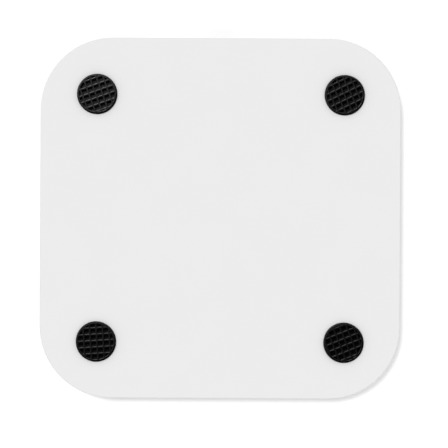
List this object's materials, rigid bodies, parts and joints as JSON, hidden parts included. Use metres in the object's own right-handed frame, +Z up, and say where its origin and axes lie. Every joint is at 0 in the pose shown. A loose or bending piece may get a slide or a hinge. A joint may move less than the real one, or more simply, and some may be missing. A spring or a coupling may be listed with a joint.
{
  "type": "wireless charging pad",
  "caption": "Flat square wireless charging pad with round corners, round rubber feet with a waffle tread and a USB-C inlet in its rear wall.",
  "frame": {"origin": "middle of the pad's outline, on the surface that its feet stand on", "axes": "+Z up out of the charging face, +Y towards the rear wall with the USB-C inlet"},
  "size_m": [0.09, 0.09, 0.0098],
  "materials": {
    "case_plastic": "fine satin moulded light grey plastic",
    "grip_silicone": "matt dark grey silicone",
    "foot_rubber": "slightly glossy black rubber with a waffle tread",
    "adhesive_film": "pale double-sided adhesive film",
    "plated_steel": "zinc-plated steel",
    "clear_plastic": "milky clear moulded plastic",
    "board_laminate": "green solder mask on glass laminate",
    "thermal_silicone": "soft grey-blue thermal silicone",
    "inlet_shell_steel": "nickel-plated stainless sheet",
    "inlet_plastic": "black glass-filled plastic",
    "contact_gold": "gold-plated copper alloy",
    "chip_resin": "black moulding resin",
    "capacitor_ceramic": "tan ceramic with tinned ends",
    "resistor_ceramic": "dark glass coating with tinned ends",
    "inductor_powder": "pressed iron powder",
    "crystal_can": "welded metal lid",
    "led_resin": "white package with a milky lens",
    "coil_copper": "enamelled copper litz",
    "lead_copper": "flattened litz, tinned at the board end",
    "ferrite": "dark sintered ferrite",
    "foam": "dark closed-cell foam",
    "sensor_glass": "amber glass bead",
    "sensor_wire": "red wire insulation"
  },
  "bodies": {
    "root": {"bottom_cover": "case_plastic", "top_cover": "case_plastic", "grip_ring": "grip_silicone", "foot_rear_right": "foot_rubber", "foot_rear_left": "foot_rubber", "foot_front_right": "foot_rubber", "foot_front_left": "foot_rubber", "foot_adhesive_discs": "adhesive_film", "case_screws": "plated_steel", "light_pipe": "clear_plastic", "main_board": "board_laminate", "board_screws": "plated_steel", "thermal_pad": "thermal_silicone", "usb_socket_shell": "inlet_shell_steel", "usb_socket_tongue": "inlet_plastic", "usb_socket_contacts": "contact_gold", "controller_chip": "chip_resin", "power_transistors": "chip_resin", "resonance_capacitors": "capacitor_ceramic", "input_inductor": "inductor_powder", "filter_capacitors": "capacitor_ceramic", "chip_resistors": "resistor_ceramic", "clock_crystal": "crystal_can", "status_led": "led_resin", "coil_winding": "coil_copper", "coil_leads": "lead_copper", "coil_adhesive_film": "adhesive_film", "ferrite_plate": "ferrite", "foam_spacer": "foam", "temperature_sensor": "sensor_glass", "sensor_leads": "sensor_wire"}
  },
  "joints": []
}
